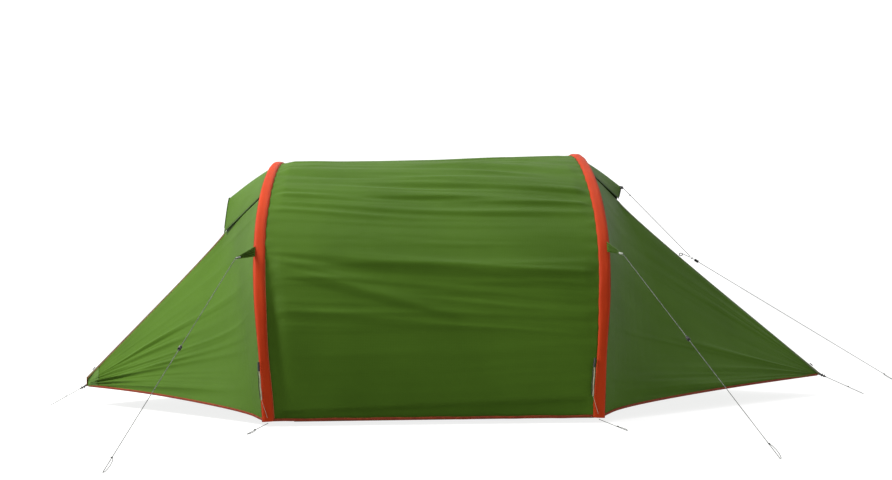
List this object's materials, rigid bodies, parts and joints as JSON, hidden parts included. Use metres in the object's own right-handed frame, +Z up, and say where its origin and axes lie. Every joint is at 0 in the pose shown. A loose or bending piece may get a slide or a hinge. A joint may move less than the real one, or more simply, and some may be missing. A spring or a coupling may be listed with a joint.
{
  "type": "two-arch tunnel tent",
  "caption": "Low tunnel tent on inflatable arches, with a tapered porch and hinged door at each end, vent hoods, a hung inner tent and taut guy lines.",
  "frame": {"origin": "on the ground, midway between the two porch tips", "axes": "+X along the tunnel from the small porch to the large one, +Y away from the side with the doors, +Z up"},
  "size_m": [3.9564, 4.7711, 1.0815],
  "materials": {
    "fly": "satin",
    "fly_shade": "satin",
    "sleeve": "matte",
    "tape": "matte",
    "beam": "satin",
    "fitting": "satin",
    "zip": "satin",
    "mesh": "matte",
    "liner": "matte",
    "floor": "satin",
    "cord": "matte",
    "webbing": "matte"
  },
  "bodies": {
    "tent": {"air_beam_left": "beam", "air_beam_right": "beam", "arch_sleeve_left": "sleeve", "arch_sleeve_right": "sleeve", "fly_front_wall": "fly_shade", "fly_rear_wall": "fly_shade", "fly_roof": "fly", "foot_strap_left": "webbing", "foot_strap_right": "webbing", "groundsheet_tub": "floor", "guy_line_front_left": "cord", "guy_line_front_right": "cord", "guy_line_rear_left": "cord", "guy_line_rear_right": "cord", "guy_line_vent": "cord", "guy_link_vent": "cord", "guy_tab_front_left": "fly", "guy_tab_front_right": "fly", "guy_tab_rear_left": "fly", "guy_tab_rear_right": "fly", "guy_upper_vent": "cord", "hem_tape_front": "tape", "hem_tape_rear": "tape", "inner_canopy": "liner", "inner_end_left": "liner", "inner_end_right": "liner", "peg_cord_front_left": "cord", "peg_cord_front_right": "cord", "peg_cord_rear_left": "cord", "peg_cord_rear_right": "cord", "porch_gusset_left": "fly", "porch_gusset_right": "fly", "porch_rear_left": "fly", "porch_rear_right": "fly", "tip_buckle_left": "fitting", "tip_buckle_right": "fitting", "tip_cord_left": "cord", "tip_cord_right": "cord", "valve_left": "fitting", "valve_right": "fitting", "vent_hood_left": "fly", "vent_hood_right": "fly", "vent_mesh_left": "mesh", "vent_mesh_right": "mesh"},
    "porch_door_left": {"porch_door_left": "fly"},
    "zip_slider_left": {"zip_slider_left": "zip"},
    "inner_door_left": {"inner_door_left": "mesh"},
    "vent_strut_left": {"vent_strut_left": "fitting"},
    "valve_cap_left": {"valve_cap_left": "fitting"},
    "runner_front_left": {"runner_front_left": "fitting"},
    "runner_rear_left": {"runner_rear_left": "fitting"},
    "porch_door_right": {"porch_door_right": "fly"},
    "zip_slider_right": {"zip_slider_right": "zip"},
    "inner_door_right": {"inner_door_right": "mesh"},
    "vent_strut_right": {"vent_strut_right": "fitting"},
    "valve_cap_right": {"valve_cap_right": "fitting"},
    "runner_front_right": {"runner_front_right": "fitting"},
    "runner_rear_right": {"runner_rear_right": "fitting"},
    "runner_vent": {"runner_vent": "fitting"}
  },
  "joints": [
    {"name": "porch_door_left_swing", "type": "hinge", "parent": "tent", "child": "porch_door_left", "pos_m": [-0.8113, -1.026, 0.0316], "axis": [-0.1532, 0.8084, 0.5683], "range_deg": [0, 60]},
    {"name": "zip_slider_left_run", "type": "slide", "parent": "tent", "child": "zip_slider_left", "axis": [0.6968, 0, 0.7173], "range_m": [0, 0.82]},
    {"name": "inner_door_left_swing", "type": "hinge", "parent": "tent", "child": "inner_door_left", "pos_m": [-0.643, 0.374, 0.4725], "axis": [0, 0, 1], "range_deg": [0, 95]},
    {"name": "vent_strut_left_fold", "type": "hinge", "parent": "tent", "child": "vent_strut_left", "pos_m": [-0.972, 0, 0.888], "axis": [0, -1, 0], "range_deg": [0, 80]},
    {"name": "valve_cap_left_pull", "type": "slide", "parent": "tent", "child": "valve_cap_left", "axis": [0, 0, -1], "range_m": [0, 0.03]},
    {"name": "runner_front_left_slide", "type": "slide", "parent": "tent", "child": "runner_front_left", "axis": [-0.1485, -0.9093, -0.3888], "range_m": [-0.45, 0.45]},
    {"name": "runner_rear_left_slide", "type": "slide", "parent": "tent", "child": "runner_rear_left", "axis": [-0.1744, 0.8722, -0.4569], "range_m": [-0.45, 0.45]},
    {"name": "porch_door_right_swing", "type": "hinge", "parent": "tent", "child": "porch_door_right", "pos_m": [0.6196, -1.0485, 0.0322], "axis": [-0.0859, -0.7772, -0.6234], "range_deg": [0, 60]},
    {"name": "zip_slider_right_run", "type": "slide", "parent": "tent", "child": "zip_slider_right", "axis": [-0.7526, 0, 0.6585], "range_m": [0, 1.1]},
    {"name": "inner_door_right_swing", "type": "hinge", "parent": "tent", "child": "inner_door_right", "pos_m": [0.463, -0.374, 0.4725], "axis": [0, 0, 1], "range_deg": [0, 95]},
    {"name": "vent_strut_right_fold", "type": "hinge", "parent": "tent", "child": "vent_strut_right", "pos_m": [0.736, 0, 0.919], "axis": [0, 1, 0], "range_deg": [0, 80]},
    {"name": "valve_cap_right_pull", "type": "slide", "parent": "tent", "child": "valve_cap_right", "axis": [0, 0, -1], "range_m": [0, 0.03]},
    {"name": "runner_front_right_slide", "type": "slide", "parent": "tent", "child": "runner_front_right", "axis": [0.1988, -0.8878, -0.4151], "range_m": [-0.45, 0.45]},
    {"name": "runner_rear_right_slide", "type": "slide", "parent": "tent", "child": "runner_rear_right", "axis": [0.2205, 0.8598, -0.4605], "range_m": [-0.45, 0.45]},
    {"name": "runner_vent_slide", "type": "slide", "parent": "tent", "child": "runner_vent", "axis": [0.7459, 0.527, -0.4074], "range_m": [0, 0.9]}
  ],
  "couplings": [
    {"joint": "zip_slider_left_run", "follows": "porch_door_left_swing", "m_per_rad": 0.78},
    {"joint": "zip_slider_right_run", "follows": "porch_door_right_swing", "m_per_rad": 1.05}
  ]
}
